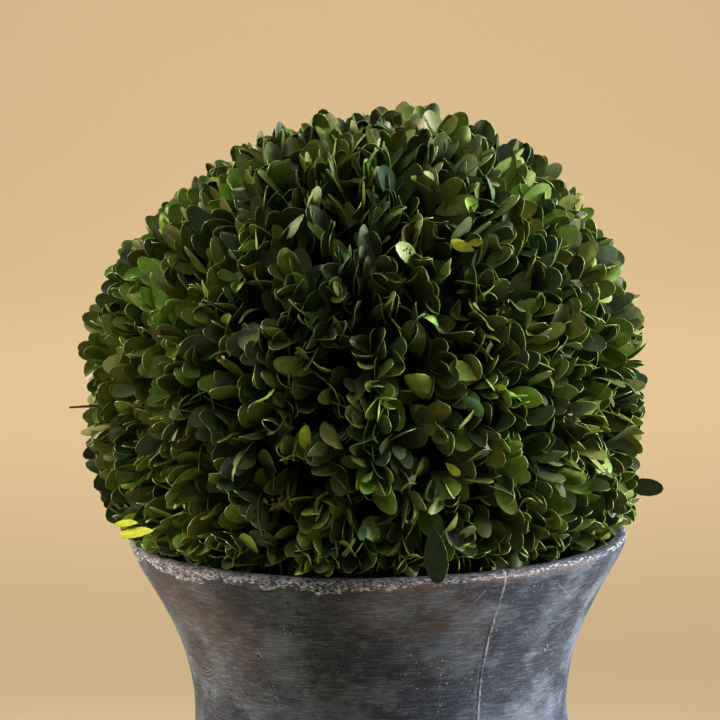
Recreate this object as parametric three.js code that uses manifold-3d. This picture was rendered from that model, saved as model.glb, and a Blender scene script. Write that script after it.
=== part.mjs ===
// A clipped ball of box on a short stem, set in the mouth of a tall-waisted cast urn with a lobed bowl.
// Millimetres, +Z up. The origin is the centre of the flat underside of the urn's foot.

import * as THREE from "three";
import { mergeVertices } from "three/addons/utils/BufferGeometryUtils.js";
import Module from "manifold-3d";

const wasm = await Module();
wasm.setup();

// Driving sizes of the urn
const urnHeight = 290; // foot to the top of the lip
const rimRadius = 138.5; // widest point, at the lip
const waistRadius = 104;
const waistHeight = 191;
const shoulderRadius = 114.5; // the smooth band over the lobes
const shoulderHeight = 146;
const lobeCount = 24;
const lobeRadius = 124.5; // out to the ridge of a lobe
const lobeRadiusHeight = 119;
const lobeDepth = 7; // ridge to valley
const lobeOverlap = 2; // how far the lobes run up behind the band
const bowlUnderHeight = 73;
const neckRadius = 36;
const neckHeight = 56;
const beadRadius = 5;
const footRadius = 88;
const footThickness = 17;
const footStep = 3; // round the top of the foot, in from its edge and up to its flare
const wall = 8.5;
const lipRound = 3;
const lipBottom = urnHeight - lipRound;
const lipCorner = lipRound * 0.3; // from the lip's square corner in to the middle of its rounding
const bellOutside = { waistPull: 49, lipPull: 19, lipLean: 6 }; // handles of the bell's two curves
const bellInside = { waistPull: 46, lipPull: 16, lipLean: 7.5 };
const cavityFloorHeight = 92;
const cavityFloorRadius = 62;
const cavityBowl = { radius: 94, height: 116 };
const cavityThroat = { radius: 96.5, height: 143 };
const seatGap = 0.3; // between one piece and the next

// Driving sizes of the plant
const fillHeight = 206; // top of the dry fill in the urn
const stemBaseRadius = 11;
const stemTopRadius = 7.5;
const stemFlareRadius = 17;
const stemSides = 14;
const ballRadius = 159; // centre of the ball to the leaf tips
const ballCentre = new THREE.Vector3(-2, 0, 375);
const coreRadius = 126;
const stubHeight = 30; // the ball's own end of the stem
const sunk = 5; // roots of twigs and leaves, under the core's face
const sprigCount = 104;
const tipPair = { opening: 0.62, below: 9, beside: -0.3, inCore: false }; // radians, and millimetres
const corePair = { opening: 0.86, beside: 4, inCore: true };
const leafLength = 37;
const leafWidth = 23;
const leafWidest = 0.58; // of its length from its root
const leastLeaf = 0.6; // of its full length, or it is left out
const leafThickness = 1.8;
const tipSpread = 4; // how far under the outline a leaf's tip may end
const twigBaseRadius = 2.4;
const twigTipRadius = 1.3;
const twigUnder = [11, 17]; // how far under the outline a twig ends
const clearOfPot = 1; // a leaf keeps this far from the lip, the fill and the stem
const seed = 19;

// One bare twig and one leaf stand out past the clipped outline: which way each points from the ball's
// centre, and how far from there it reaches.
const strayTwig = { towards: new THREE.Vector3(-168, -6, -7), reach: 168.5 };
const strayLeaf = { towards: new THREE.Vector3(160, -12, -64), reach: 172, length: 24, width: 13 };

const smoothSides = 56;
const footSides = 40;
const cavitySides = 40;

// The same numbers on every run: a small seeded generator of values from 0 to 1.
function seededRandom(start) {
  let state = start >>> 0;
  return () => {
    state = (state + 0x6d2b79f5) >>> 0;
    let t = state;
    t = Math.imul(t ^ (t >>> 15), t | 1);
    t ^= t + Math.imul(t ^ (t >>> 7), t | 61);
    return ((t ^ (t >>> 14)) >>> 0) / 4294967296;
  };
}

function solidOf(geometry) {
  const plain = geometry.clone();
  plain.deleteAttribute("normal");
  plain.deleteAttribute("uv");
  const merged = mergeVertices(plain, 1e-4);
  return new wasm.Manifold(
    new wasm.Mesh({
      numProp: 3,
      vertProperties: merged.attributes.position.array,
      triVerts: new Uint32Array(merged.index.array),
    }),
  );
}

function geometryOf(solid) {
  const { numProp, numVert, vertProperties, triVerts } = solid.getMesh();
  const positions = new Float32Array(numVert * 3);
  for (let i = 0; i < numVert; i += 1) {
    positions.set(vertProperties.subarray(i * numProp, i * numProp + 3), i * 3);
  }
  return new THREE.BufferGeometry()
    .setAttribute("position", new THREE.BufferAttribute(positions, 3))
    .setIndex(new THREE.BufferAttribute(triVerts, 1));
}

function named(name, geometry, colour, roughness) {
  const material = new THREE.MeshStandardMaterial({ color: colour, roughness, metalness: 0 });
  const mesh = new THREE.Mesh(geometry, material);
  mesh.name = name;
  return mesh;
}

// A profile of [radius, height] points, from the axis below to the axis above, turned about Z.
function turned(profile, sides) {
  const points = profile.map(([radius, height]) => new THREE.Vector2(radius, height));
  return new THREE.LatheGeometry(points, sides).rotateX(Math.PI / 2);
}

// Points along a curve between two ends, which leaves the first and meets the second upright.
function sweep([r0, z0], [r1, z1], pull0, pull1, steps) {
  const curve = new THREE.CubicBezierCurve(
    new THREE.Vector2(r0, z0),
    new THREE.Vector2(r0, z0 + pull0),
    new THREE.Vector2(r1, z1 - pull1),
    new THREE.Vector2(r1, z1),
  );
  return curve.getPoints(steps).map((p) => [p.x, p.y]);
}

// The bell's line, outside or inside: it leaves the waist upright and leans out to the lip.
function bellLine(waist, lip, { waistPull, lipPull, lipLean }, steps) {
  const curve = new THREE.CubicBezierCurve(
    new THREE.Vector2(waist, waistHeight),
    new THREE.Vector2(waist, waistHeight + waistPull),
    new THREE.Vector2(lip - lipLean, lipBottom - lipPull),
    new THREE.Vector2(lip, lipBottom),
  );
  return curve.getPoints(steps).map((p) => [p.x, p.y]);
}

// The smooth upper half of the urn: the band over the lobes, the waist, the bell and its rounded lip.
function bellSolid() {
  const tuck = { in: 3, down: 5 }; // the band's lower edge, turned in behind the lobes
  const underside = shoulderHeight - tuck.down;
  const band = sweep([shoulderRadius, shoulderHeight], [waistRadius, waistHeight], 24, 19, 4);
  const bell = bellLine(waistRadius, rimRadius, bellOutside, 7);
  const profile = [
    [0, underside],
    [shoulderRadius - tuck.in, underside],
    ...band,
    ...bell.slice(1),
    [rimRadius - lipCorner, urnHeight - lipCorner],
    [rimRadius - lipRound, urnHeight],
    [0, urnHeight],
  ];
  return solidOf(turned(profile, smoothSides));
}

// The lobed bowl. Each lobe is round across, and the valleys between them are sharp.
function lobedBowlSolid() {
  const sidesPerLobe = 4;
  const lowerRadius = neckRadius + 6;
  const topHeight = shoulderHeight + lobeOverlap;
  const fadeHeight = 9; // the lobes flatten over this height under the band
  const fadeWidth = 40; // and over this width round the neck
  const leastDepth = 0.35;
  const upper = sweep([lobeRadius, lobeRadiusHeight], [shoulderRadius - 1, topHeight], 15, 3, 3);
  const lower = new THREE.CubicBezierCurve(
    new THREE.Vector2(lowerRadius, bowlUnderHeight),
    new THREE.Vector2(lowerRadius + 52, bowlUnderHeight + 5),
    new THREE.Vector2(lobeRadius, lobeRadiusHeight - 22),
    new THREE.Vector2(lobeRadius, lobeRadiusHeight),
  ).getPoints(5);
  const ridge = [...lower.map((p) => [p.x, p.y]), ...upper.slice(1)];
  const profile = [[0, bowlUnderHeight], ...ridge, [0, topHeight]];
  const geometry = turned(profile, lobeCount * sidesPerLobe);
  const position = geometry.attributes.position;
  for (let i = 0; i < position.count; i += 1) {
    const x = position.getX(i);
    const y = position.getY(i);
    const z = position.getZ(i);
    const radius = Math.hypot(x, y);
    if (radius < 1) continue;
    const turn = (Math.atan2(y, x) / (2 * Math.PI)) * lobeCount;
    const across = 2 * (turn - Math.floor(turn + 1e-6)) - 1;
    const hollow = 1 - Math.sqrt(Math.max(0, 1 - across * across));
    const upperFade = Math.min(1, (topHeight - z) / fadeHeight);
    const lowerFade = Math.min(1, (radius - lowerRadius) / fadeWidth + leastDepth);
    const scale = (radius - lobeDepth * hollow * upperFade * lowerFade) / radius;
    position.setXY(i, x * scale, y * scale);
  }
  return solidOf(geometry);
}

// The neck with its bead, and the round foot with a flat underside.
function footSolid() {
  const flareRadius = footRadius - 3 * footStep;
  const flareTop = footThickness + footStep;
  const flare = new THREE.CubicBezierCurve(
    new THREE.Vector2(flareRadius, flareTop),
    new THREE.Vector2(flareRadius - 25, flareTop + 5),
    new THREE.Vector2(neckRadius, neckHeight - 20),
    new THREE.Vector2(neckRadius, neckHeight),
  ).getPoints(5);
  const beadMiddle = bowlUnderHeight - 7;
  const intoBowl = bowlUnderHeight + 4;
  const bead = [-1, 0, 1].map((s) => [
    neckRadius + 4 + beadRadius * Math.sqrt(1 - s * s),
    beadMiddle + s * beadRadius,
  ]);
  const profile = [
    [0, 0],
    [footRadius - 2, 0],
    [footRadius, 2],
    [footRadius, footThickness - footStep],
    [footRadius - footStep, footThickness],
    [flareRadius, footThickness],
    ...flare.map((p) => [p.x, p.y]),
    ...bead,
    [neckRadius + 3, intoBowl],
    [0, intoBowl],
  ];
  return solidOf(turned(profile, footSides));
}

// The inside of the urn, from the edge of its floor up to the lip's rounding.
const innerLip = rimRadius - wall;
const cavityProfile = [
  [cavityFloorRadius, cavityFloorHeight],
  [cavityBowl.radius, cavityBowl.height],
  [cavityThroat.radius, cavityThroat.height],
  ...bellLine(waistRadius - wall, innerLip, bellInside, 5),
  [innerLip + lipCorner, urnHeight - lipCorner],
  [innerLip + lipRound, urnHeight],
];

function cavityRadiusAt(height) {
  const above = cavityProfile.findIndex(([, z]) => z >= height);
  if (above === 0) return cavityProfile[0][0];
  const [r0, z0] = cavityProfile[above - 1];
  const [r1, z1] = cavityProfile[above];
  return r0 + ((r1 - r0) * (height - z0)) / (z1 - z0);
}

function urnMesh() {
  const above = urnHeight + 10;
  const mouth = innerLip + lipRound;
  const profile = [[0, cavityFloorHeight], ...cavityProfile, [mouth, above], [0, above]];
  const cavity = solidOf(turned(profile, cavitySides));
  const urn = bellSolid().add(lobedBowlSolid()).add(footSolid()).subtract(cavity);
  return named("urn", geometryOf(urn), 0x55585c, 0.85);
}

// The dry fill that holds the stem, a hair clear of the urn's wall, with its upper edge rounded off.
function fillMesh() {
  const edge = 4;
  const side = cavityProfile
    .filter(([, z]) => z < fillHeight - edge)
    .map(([radius, z]) => [radius - 2 * seatGap, Math.max(z, cavityFloorHeight + seatGap)]);
  const profile = [
    [0, cavityFloorHeight + seatGap],
    ...side,
    [cavityRadiusAt(fillHeight) - edge, fillHeight],
    [0, fillHeight],
  ];
  return named("dry_fill", turned(profile, cavitySides), 0x4a4a34, 0.95);
}

// The short stem: flared where it leaves the fill, cut flat at both ends.
const stemFoot = fillHeight + seatGap;
const stemTop = ballCentre.z - coreRadius - 6;

function stemMesh() {
  const stretch = stemTop - stemFoot;
  const profile = [
    [0, stemFoot],
    [stemFlareRadius, stemFoot],
    [stemBaseRadius + 1.5, stemFoot + stretch * 0.22],
    [stemBaseRadius, stemFoot + stretch * 0.45],
    [stemTopRadius, stemTop],
    [0, stemTop],
  ];
  const geometry = turned(profile, stemSides).translate(ballCentre.x, ballCentre.y, 0);
  return named("stem", geometry, 0x6b5640, 0.9);
}

// True if a point of the foliage would touch the urn, the fill or the stem, or leave the ball.
function outOfBounds(point) {
  const fromAxis = Math.hypot(point.x, point.y);
  if (point.distanceTo(ballCentre) > ballRadius + 0.01) return true;
  if (point.z < urnHeight + clearOfPot) {
    if (point.z < fillHeight + clearOfPot) return true;
    if (fromAxis > cavityRadiusAt(Math.min(point.z, urnHeight)) - clearOfPot) return true;
  }
  const fromStem = Math.hypot(point.x - ballCentre.x, point.y - ballCentre.y);
  return point.z < stemTop + clearOfPot && fromStem < stemFlareRadius + clearOfPot;
}

// A leaf as an eight-faced blade: its root, its widest point past the middle, and its tip.
function leafGeometry(length, width) {
  const geometry = new THREE.OctahedronGeometry(1, 0);
  geometry.scale(length / 2, width / 2, leafThickness / 2);
  const position = geometry.attributes.position;
  for (let i = 0; i < position.count; i += 1) {
    if (Math.abs(position.getX(i)) < 1e-6) position.setX(i, length * (leafWidest - 0.5));
  }
  return geometry.translate(length / 2, 0, 0);
}

// Points round a leaf in place: its root, its sides and its tip, with more between them.
function leafOutline(length, width, matrix) {
  const corners = [
    [0, 0],
    [length * leafWidest, width / 2],
    [length, 0],
    [length * leafWidest, -width / 2],
  ];
  const parts = [0, 0.25, 0.5, 0.75];
  return corners.flatMap(([x0, y0], i) => {
    const [x1, y1] = corners[(i + 1) % corners.length];
    return parts.map((s) =>
      new THREE.Vector3(x0 + (x1 - x0) * s, y0 + (y1 - y0) * s, 0).applyMatrix4(matrix),
    );
  });
}

// One leaf of a sprig: it leaves the twig's line at a distance from the ball's centre, opens by an angle
// towards one side, and ends inside the ball. It gives nothing where the leaf has no room.
function leafOn(twig, place, turn, open, size, cut) {
  const aside = twig.across.clone().applyAxisAngle(twig.out, turn);
  const forward = twig.out.clone().multiplyScalar(Math.cos(open)).addScaledVector(aside, Math.sin(open));
  const face = twig.out.clone().multiplyScalar(-Math.sin(open)).addScaledVector(aside, Math.cos(open));
  const wide = face.clone().cross(forward);
  const root = ballCentre.clone().addScaledVector(twig.out, place.from).addScaledVector(aside, place.beside);
  const fromCentre = root.clone().sub(ballCentre);
  const reach = ballRadius - cut * tipSpread;
  const ahead = fromCentre.dot(forward);
  const room = Math.sqrt(ahead * ahead + reach * reach - fromCentre.lengthSq()) - ahead;
  const length = Math.min(leafLength * size, room);
  const width = leafWidth * size;
  const matrix = new THREE.Matrix4().makeBasis(forward, wide, face).setPosition(root);
  if (length < leafLength * leastLeaf) return null;
  if (leafOutline(length, width, matrix).some(outOfBounds)) return null;
  const middle = new THREE.Vector3(length / 2, 0, 0).applyMatrix4(matrix);
  return { twig, middle, solid: solidOf(leafGeometry(length, width).applyMatrix4(matrix)) };
}

// A three-sided twig from inside the core out to a distance from the ball's centre.
function twigSolid(out, reach) {
  const along = reach - coreRadius + sunk;
  const geometry = new THREE.CylinderGeometry(twigTipRadius, twigBaseRadius, along, 3, 1);
  geometry.applyQuaternion(new THREE.Quaternion().setFromUnitVectors(new THREE.Vector3(0, 1, 0), out));
  const middle = ballCentre.clone().addScaledVector(out, coreRadius - sunk + along / 2);
  return solidOf(geometry.translate(middle.x, middle.y, middle.z));
}

// The bare twig, and the leaf on its own twig, that stand out past the outline.
function straySolids() {
  const twigOut = strayTwig.towards.clone().normalize();
  const leafOut = strayLeaf.towards.clone().normalize();
  const wide = new THREE.Vector3(0, 1, 0).cross(leafOut).normalize();
  const leafFoot = strayLeaf.reach - strayLeaf.length;
  const root = ballCentre.clone().addScaledVector(leafOut, leafFoot);
  const place = new THREE.Matrix4().makeBasis(leafOut, wide, leafOut.clone().cross(wide)).setPosition(root);
  const leaf = solidOf(leafGeometry(strayLeaf.length, strayLeaf.width).applyMatrix4(place));
  return [twigSolid(twigOut, strayTwig.reach), twigSolid(leafOut, leafFoot + sunk), leaf];
}

// The seeded rule: sprigs stand out of the core on an even spiral over the ball. Each has a wide pair of
// leaves rooted in the core beside its twig, and crossed over it a closer pair near the twig's tip.
// A leaf that would cut into another sprig is skipped.
function sprigSolids() {
  const random = seededRandom(seed);
  const between = (low, high) => low + (high - low) * random();
  const goldenTurn = Math.PI * (3 - Math.sqrt(5));
  const twigs = [];
  for (let i = 0; i < sprigCount; i += 1) {
    const height = 1 - (2 * (i + 0.5)) / sprigCount;
    const ring = Math.sqrt(1 - height * height);
    const turn = i * goldenTurn + between(-0.1, 0.1);
    const out = new THREE.Vector3(ring * Math.cos(turn), ring * Math.sin(turn), height).normalize();
    const reach = ballRadius - between(...twigUnder);
    const twist = between(0, Math.PI);
    const twigTip = ballCentre.clone().addScaledVector(out, reach);
    if (outOfBounds(twigTip)) continue;
    const across = new THREE.Vector3(0, 0, 1).cross(out).normalize();
    twigs.push({ out, across, reach, twist, solid: twigSolid(out, reach) });
  }
  const leaves = [];
  const clear = (leaf) =>
    leaves.every(
      (other) =>
        other.twig === leaf.twig ||
        other.middle.distanceTo(leaf.middle) > leafLength ||
        other.solid.intersect(leaf.solid).isEmpty(),
    );
  [tipPair, corePair].forEach((pair, k) => {
    for (const twig of twigs) {
      const place = { from: pair.inCore ? coreRadius - sunk : twig.reach - pair.below, beside: pair.beside };
      for (const side of [0, Math.PI]) {
        const turn = twig.twist + (k * Math.PI) / 2 + side + between(-0.2, 0.2);
        const open = pair.opening + between(-0.12, 0.12);
        const leaf = leafOn(twig, place, turn, open, between(0.88, 1.08), random());
        if (leaf && clear(leaf)) leaves.push(leaf);
      }
    }
  });
  return [...twigs, ...leaves].map(({ solid }) => solid);
}

// The clipped ball: a core, the stub of its own stem, and the sprigs that stand out of the core.
function foliageMesh() {
  const core = new THREE.IcosahedronGeometry(coreRadius, 3);
  core.translate(ballCentre.x, ballCentre.y, ballCentre.z);
  const stubMiddle = stemTop + seatGap + stubHeight / 2;
  const stub = new THREE.CylinderGeometry(stemTopRadius, stemTopRadius, stubHeight, stemSides, 1);
  stub.rotateX(Math.PI / 2).translate(ballCentre.x, ballCentre.y, stubMiddle);
  const parts = [solidOf(core), solidOf(stub), ...sprigSolids(), ...straySolids()];
  const ball = wasm.Manifold.union(parts);
  return named("foliage_ball", geometryOf(ball), 0x2f4a1e, 0.55);
}

const boxTopiary = new THREE.Group();
boxTopiary.add(urnMesh(), fillMesh(), stemMesh(), foliageMesh());

export default boxTopiary;
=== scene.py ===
import math

import bmesh
import bpy
import numpy as np
from mathutils import Matrix, Vector, noise


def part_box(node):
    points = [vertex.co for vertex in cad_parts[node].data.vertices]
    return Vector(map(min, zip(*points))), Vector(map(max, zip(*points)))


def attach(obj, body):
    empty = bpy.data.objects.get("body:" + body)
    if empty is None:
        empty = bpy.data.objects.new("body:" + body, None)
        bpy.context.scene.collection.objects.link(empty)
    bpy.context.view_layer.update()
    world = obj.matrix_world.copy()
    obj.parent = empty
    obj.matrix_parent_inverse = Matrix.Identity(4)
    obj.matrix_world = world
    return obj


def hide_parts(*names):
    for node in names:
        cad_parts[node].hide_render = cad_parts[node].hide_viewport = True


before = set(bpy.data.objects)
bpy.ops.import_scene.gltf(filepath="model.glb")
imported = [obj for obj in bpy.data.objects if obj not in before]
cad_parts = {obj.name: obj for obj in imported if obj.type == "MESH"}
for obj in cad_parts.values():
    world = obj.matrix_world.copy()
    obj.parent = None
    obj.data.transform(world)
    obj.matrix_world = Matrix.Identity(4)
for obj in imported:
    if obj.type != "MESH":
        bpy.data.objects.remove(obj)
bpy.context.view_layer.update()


# Camera
# A long lens a little above the lip, looking slightly down, with the urn's axis just right of the middle.
def new_object(name, data):
    """An object of some data, in the scene."""
    made = bpy.data.objects.new(name, data)
    bpy.context.scene.collection.objects.link(made)
    return made


camera_data = bpy.data.cameras.new("camera")
camera_data.sensor_width = 36
camera_data.lens = 219.9
camera_data.clip_end = 50
camera = new_object("camera", camera_data)
camera.location = (-0.0086, -2.415, 0.735)
look_down = Matrix.Rotation(math.radians(90 - 8.2), 3, "X")
roll = Matrix.Rotation(math.radians(-0.95), 3, "Z")
camera.rotation_euler = (look_down @ roll).to_euler()
bpy.context.scene.camera = camera

# Urn
# A flared urn of cast clay: a bell over a narrow waist, a smooth band, a bowl of 24 round lobes, a beaded
# neck and a round foot. It was turned in one piece, given a slate-grey wash, rubbed back to brown in
# places, and lime has bloomed along its worn lip.
mm = 0.001
urn_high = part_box("urn")[1]
urn_height = urn_high.z
rim_radius = urn_high.x
waist_radius = 104 * mm
waist_height = 191 * mm
band_radius = 114.5 * mm
lobe_count = 24
steps_in_lobe = 14
lobe_radius = 124.5 * mm
lobe_height = 119 * mm
lobe_depth = 7 * mm
lobe_top = 148 * mm
bowl_under_height = 73 * mm
bowl_under_radius = 42 * mm
neck_radius = 36 * mm
neck_height = 56 * mm
bead_radius = 5 * mm
foot_radius = 88 * mm
foot_thickness = 17 * mm
wall = 8.5 * mm
lip_round = 3 * mm
lip_bottom = urn_height - lip_round
cavity_floor = 92 * mm


def curve(start, start_pull, end_pull, end, steps):
    """Points of radius and height from one point to another, drawn towards two handles."""
    points = []
    for i in range(steps + 1):
        t = i / steps
        a, b, c, d = (1 - t) ** 3, 3 * t * (1 - t) ** 2, 3 * t * t * (1 - t), t**3
        radius = a * start[0] + b * start_pull[0] + c * end_pull[0] + d * end[0]
        height = a * start[1] + b * start_pull[1] + c * end_pull[1] + d * end[1]
        points.append((radius, height))
    return points


def bell_line(waist, lip, waist_pull, lip_pull, lip_lean, steps):
    """The bell from its waist to its lip: upright at the waist and leaning out at the lip."""
    handle = (lip - lip_lean, lip_bottom - lip_pull)
    return curve((waist, waist_height), (waist, waist_height + waist_pull), handle, (lip, lip_bottom), steps)


def turned(profile, steps):
    """A bmesh of a closed profile of radius and height, turned once round the Z axis."""
    bm = bmesh.new()
    rim = [bm.verts.new((radius, 0, height)) for radius, height in profile]
    edges = [bm.edges.new(pair) for pair in zip(rim, rim[1:])]
    bmesh.ops.spin(
        bm, geom=rim + edges, cent=(0, 0, 0), axis=(0, 0, 1), angle=math.tau, steps=steps, use_merge=True
    )
    bmesh.ops.remove_doubles(bm, verts=bm.verts, dist=1e-6)
    bmesh.ops.recalc_face_normals(bm, faces=bm.faces)
    return bm


def new_piece(name, bm, *materials):
    """A finished piece: a smooth-shaded mesh that rides on the plant's one body."""
    mesh = bpy.data.meshes.new(name)
    bm.to_mesh(mesh)
    bm.free()
    for material in materials:
        mesh.materials.append(material)
    mesh.polygons.foreach_set("use_smooth", [True] * len(mesh.polygons))
    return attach(new_object(name, mesh), "root")


inner_lip = rim_radius - wall
inner_bell = bell_line(waist_radius - wall, inner_lip, 46 * mm, 16 * mm, 7.5 * mm, 20)
inner_profile = [
    *curve((62 * mm, cavity_floor), (80 * mm, cavity_floor), (94 * mm, 110 * mm), (96.5 * mm, 143 * mm), 8),
    *inner_bell,
]


def inside_radius(height):
    """The inner radius of the urn at a height."""
    heights = [point[1] for point in inner_profile]
    return float(np.interp(height, heights, [point[0] for point in inner_profile]))


def rounded_corner(centre_radius, centre_height, start_angle, end_angle, radius, steps):
    """Points of a quarter round or a part of one, angles in degrees from outwards."""
    angles = np.radians(np.linspace(start_angle, end_angle, steps + 1))
    return [(centre_radius + radius * math.cos(a), centre_height + radius * math.sin(a)) for a in angles]


foot_flare = foot_radius - 9 * mm
flare_top = foot_thickness + 3 * mm
lobe_under = curve(
    (bowl_under_radius, bowl_under_height),
    (bowl_under_radius + 52 * mm, bowl_under_height + 5 * mm),
    (lobe_radius, lobe_height - 22 * mm),
    (lobe_radius, lobe_height),
    20,
)
lobe_over = curve(
    (lobe_radius, lobe_height),
    (lobe_radius, lobe_height + 15 * mm),
    (band_radius + 2 * mm, lobe_top - 6 * mm),
    (band_radius - 1.5 * mm, lobe_top - 2 * mm),
    14,
)
band = curve(
    (band_radius, lobe_top),
    (band_radius, lobe_top + 22 * mm),
    (waist_radius, waist_height - 19 * mm),
    (waist_radius, waist_height),
    16,
)
outer_profile = [
    (0, 0),
    (foot_radius - 2 * mm, 0),
    *rounded_corner(foot_radius - 2 * mm, 2 * mm, -60, 0, 2 * mm, 2),
    *rounded_corner(foot_radius - 3 * mm, foot_thickness - 3 * mm, 0, 90, 3 * mm, 4),
    (foot_flare + 0.3 * mm, foot_thickness),
    (foot_flare, foot_thickness + 0.3 * mm),
    *curve(
        (foot_flare, flare_top),
        (foot_flare - 25 * mm, flare_top + 5 * mm),
        (neck_radius, neck_height - 20 * mm),
        (neck_radius, neck_height),
        18,
    ),
    *rounded_corner(neck_radius + 4 * mm, bowl_under_height - 7 * mm, -90, 90, bead_radius, 8),
    *lobe_under,
    *lobe_over[1:],
    (band_radius - 2 * mm, lobe_top - 0.6 * mm),
    *band,
    *bell_line(waist_radius, rim_radius, 49 * mm, 19 * mm, 6 * mm, 34)[1:],
]
lip_top = rounded_corner(rim_radius - lip_round, lip_bottom, 15, 90, lip_round, 5)
lip_inner = rounded_corner(inner_lip + lip_round, lip_bottom, 90, 165, lip_round, 5)
lip_flat = [(radius * mm, urn_height) for radius in (134.4, 133.6)]
urn_profile = [*outer_profile, *lip_top, *lip_flat, *lip_inner, *inner_profile[::-1], (0, cavity_floor)]

urn_mesh = turned(urn_profile, lobe_count * steps_in_lobe)
valley = urn_mesh.verts.layers.float.new("valley")
for vert in urn_mesh.verts:
    x, y, z = vert.co
    radius = math.hypot(x, y)
    if radius < 1 * mm or z < 0.5 * mm:
        continue
    outside = z < cavity_floor - 1 * mm or radius > inside_radius(z) + 4 * mm
    if outside and bowl_under_height - 0.5 * mm < z < lobe_top - 1 * mm:
        turn = math.atan2(y, x) / math.tau * lobe_count
        across = 2 * (turn - math.floor(turn + 1e-6)) - 1
        hollow = 1 - math.sqrt(max(0, 1 - across * across))
        upper_fade = min(1, (lobe_top - z) / (7 * mm))
        lower_fade = min(1, (radius - bowl_under_radius) / (40 * mm) + 0.35)
        vert[valley] = hollow * upper_fade * lower_fade
        radius -= lobe_depth * hollow * upper_fade * lower_fade
    wobble = 0.35 * mm * noise.noise(vert.co * 28) + 0.12 * mm * noise.noise(vert.co * 120)
    worn = 0.0
    if z > lip_bottom - 3 * mm:
        chip = noise.noise(Vector((x, y, 3 * z)) * 95)
        nick = noise.noise(Vector((x + 1, y, 2 * z)) * 260)
        worn = 0.9 * mm * max(0, chip - 0.15) + 0.35 * mm * abs(nick)
    inwards = worn if outside else -worn
    grow = (radius + wobble - inwards) / math.hypot(x, y)
    drop = 0.8 * worn if z > urn_height - 1.2 * mm else 0
    vert.co = (x * grow, y * grow, z - drop)


def hex_colour(code):
    """A linear colour from an sRGB hex value."""
    channels = [int(code[i : i + 2], 16) / 255 for i in (1, 3, 5)]
    return [c / 12.92 if c <= 0.04045 else ((c + 0.055) / 1.055) ** 2.4 for c in channels] + [1]


def add(material, kind, sockets=None, **settings):
    """Adds a shader node with its settings, sets or links the sockets given, and returns its outputs."""
    node = material.node_tree.nodes.new("ShaderNode" + kind)
    for name, value in settings.items():
        setattr(node, name, value)
    for socket, value in (sockets or {}).items():
        if isinstance(value, bpy.types.NodeSocket):
            material.node_tree.links.new(value, node.inputs[socket])
        else:
            node.inputs[socket].default_value = value
    return node.outputs


def new_material(name, roughness, ior=1.5):
    """A material with its shader set, and the node that the shader is."""
    material = bpy.data.materials.new(name)
    material.use_nodes = True
    shader = material.node_tree.nodes["Principled BSDF"]
    shader.inputs["Roughness"].default_value = roughness
    shader.inputs["IOR"].default_value = ior
    return material, shader


def dress(material, shader, colour, height, strength, depth):
    """Links a colour to the shader, and the bump that a pattern makes at a strength and depth."""
    material.node_tree.links.new(colour, shader.inputs["Base Color"])
    bump = add(material, "Bump", {"Height": height, "Strength": strength, "Distance": depth})[0]
    material.node_tree.links.new(bump, shader.inputs["Normal"])


# Aged clay under a slate-grey lime wash. To the eye it is a dry matt face with broken brush lines about a
# millimetre apart, paler clouds, brown clay where the wash was rubbed off, white specks of lime and a few
# pits, painted near black as their shade. Lime has crusted the lip, and a thin mould seam runs down the
# front right.
clay, clay_shader = new_material("lime_washed_clay", 0.75, 1.45)
clay_shader.inputs["Specular IOR Level"].default_value = 0.16
place = add(clay, "TexCoord")["Object"]
apart = add(clay, "SeparateXYZ", {0: place})


def within(mask, *windows):
    """The mask, faded in by each pattern from where it starts to where it is full."""
    for pattern, start, full in windows:
        limits = {"Value": pattern, "From Min": start, "From Max": full}
        share = add(clay, "MapRange", limits, interpolation_type="SMOOTHSTEP")[0]
        mask = add(clay, "Math", {0: mask, 1: share}, operation="MULTIPLY")[0]
    return mask


cover = {}
for name, size, detail, offset, low, high, strength in (
    # name, size of its blots along X, Y and Z in mm, detail, offset, where it starts and is full, strength
    ("wide lines", (90, 90, 7), 5, 0, 0.35, 0.7, 1),
    ("fine lines", (9, 9, 0.9), 4, 0, 0.47, 0.66, 0.58),
    ("clouds", (34, 34, 26), 8, 3.1, 0.41, 0.7, 0.85),
    ("rubbed", (40, 40, 26), 4, 5.3, 0.3, 0.6, 0.75),
    ("grit", (0.8, 0.8, 0.7), 2, 0, 0.56, 0.68, 0.65),
    ("grit groups", (22, 22, 12), 4, 7.7, 0.4, 0.66, 0.9),
    ("speck groups", (30, 30, 30), 3, 9.1, 0.5, 0.68, 1),
    ("chalk", (9, 9, 5), 4, 8.3, 0.36, 0.56, 0.8),
    ("crumbs", (2.4, 2.4, 1), 4, 1.7, 0.49, 0.56, 0.85),
    ("lip pits", (2, 2, 1.4), 2, 3.9, 0.56, 0.63, 1),
    ("breaks", (3, 3, 5), 3, 6.2, 0.36, 0.6, 0.75),
    ("crust reach", (26, 26, 12), 4, 4.4, 0.3, 0.7, 1),
    ("brown band", (16, 16, 6), 6, 2.6, 0.32, 0.6, 0.85),
):
    scale = [1 / (length * mm) for length in size]
    moved = add(clay, "Mapping", {"Vector": place, "Scale": scale, "Location": [offset] * 3})[0]
    blots = add(clay, "TexNoise", {"Vector": moved, "Scale": 1, "Detail": detail, "Roughness": 0.65})
    cover[name] = within(strength, (blots["Fac"], low, high))

# The brush lines are plainest in the clouds.
line_strength = add(clay, "MapRange", {"Value": cover["clouds"], "To Min": 0.35, "To Max": 1.1})[0]
brush_lines = add(clay, "Math", {0: cover["fine lines"], 1: line_strength}, operation="MULTIPLY")[0]

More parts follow.
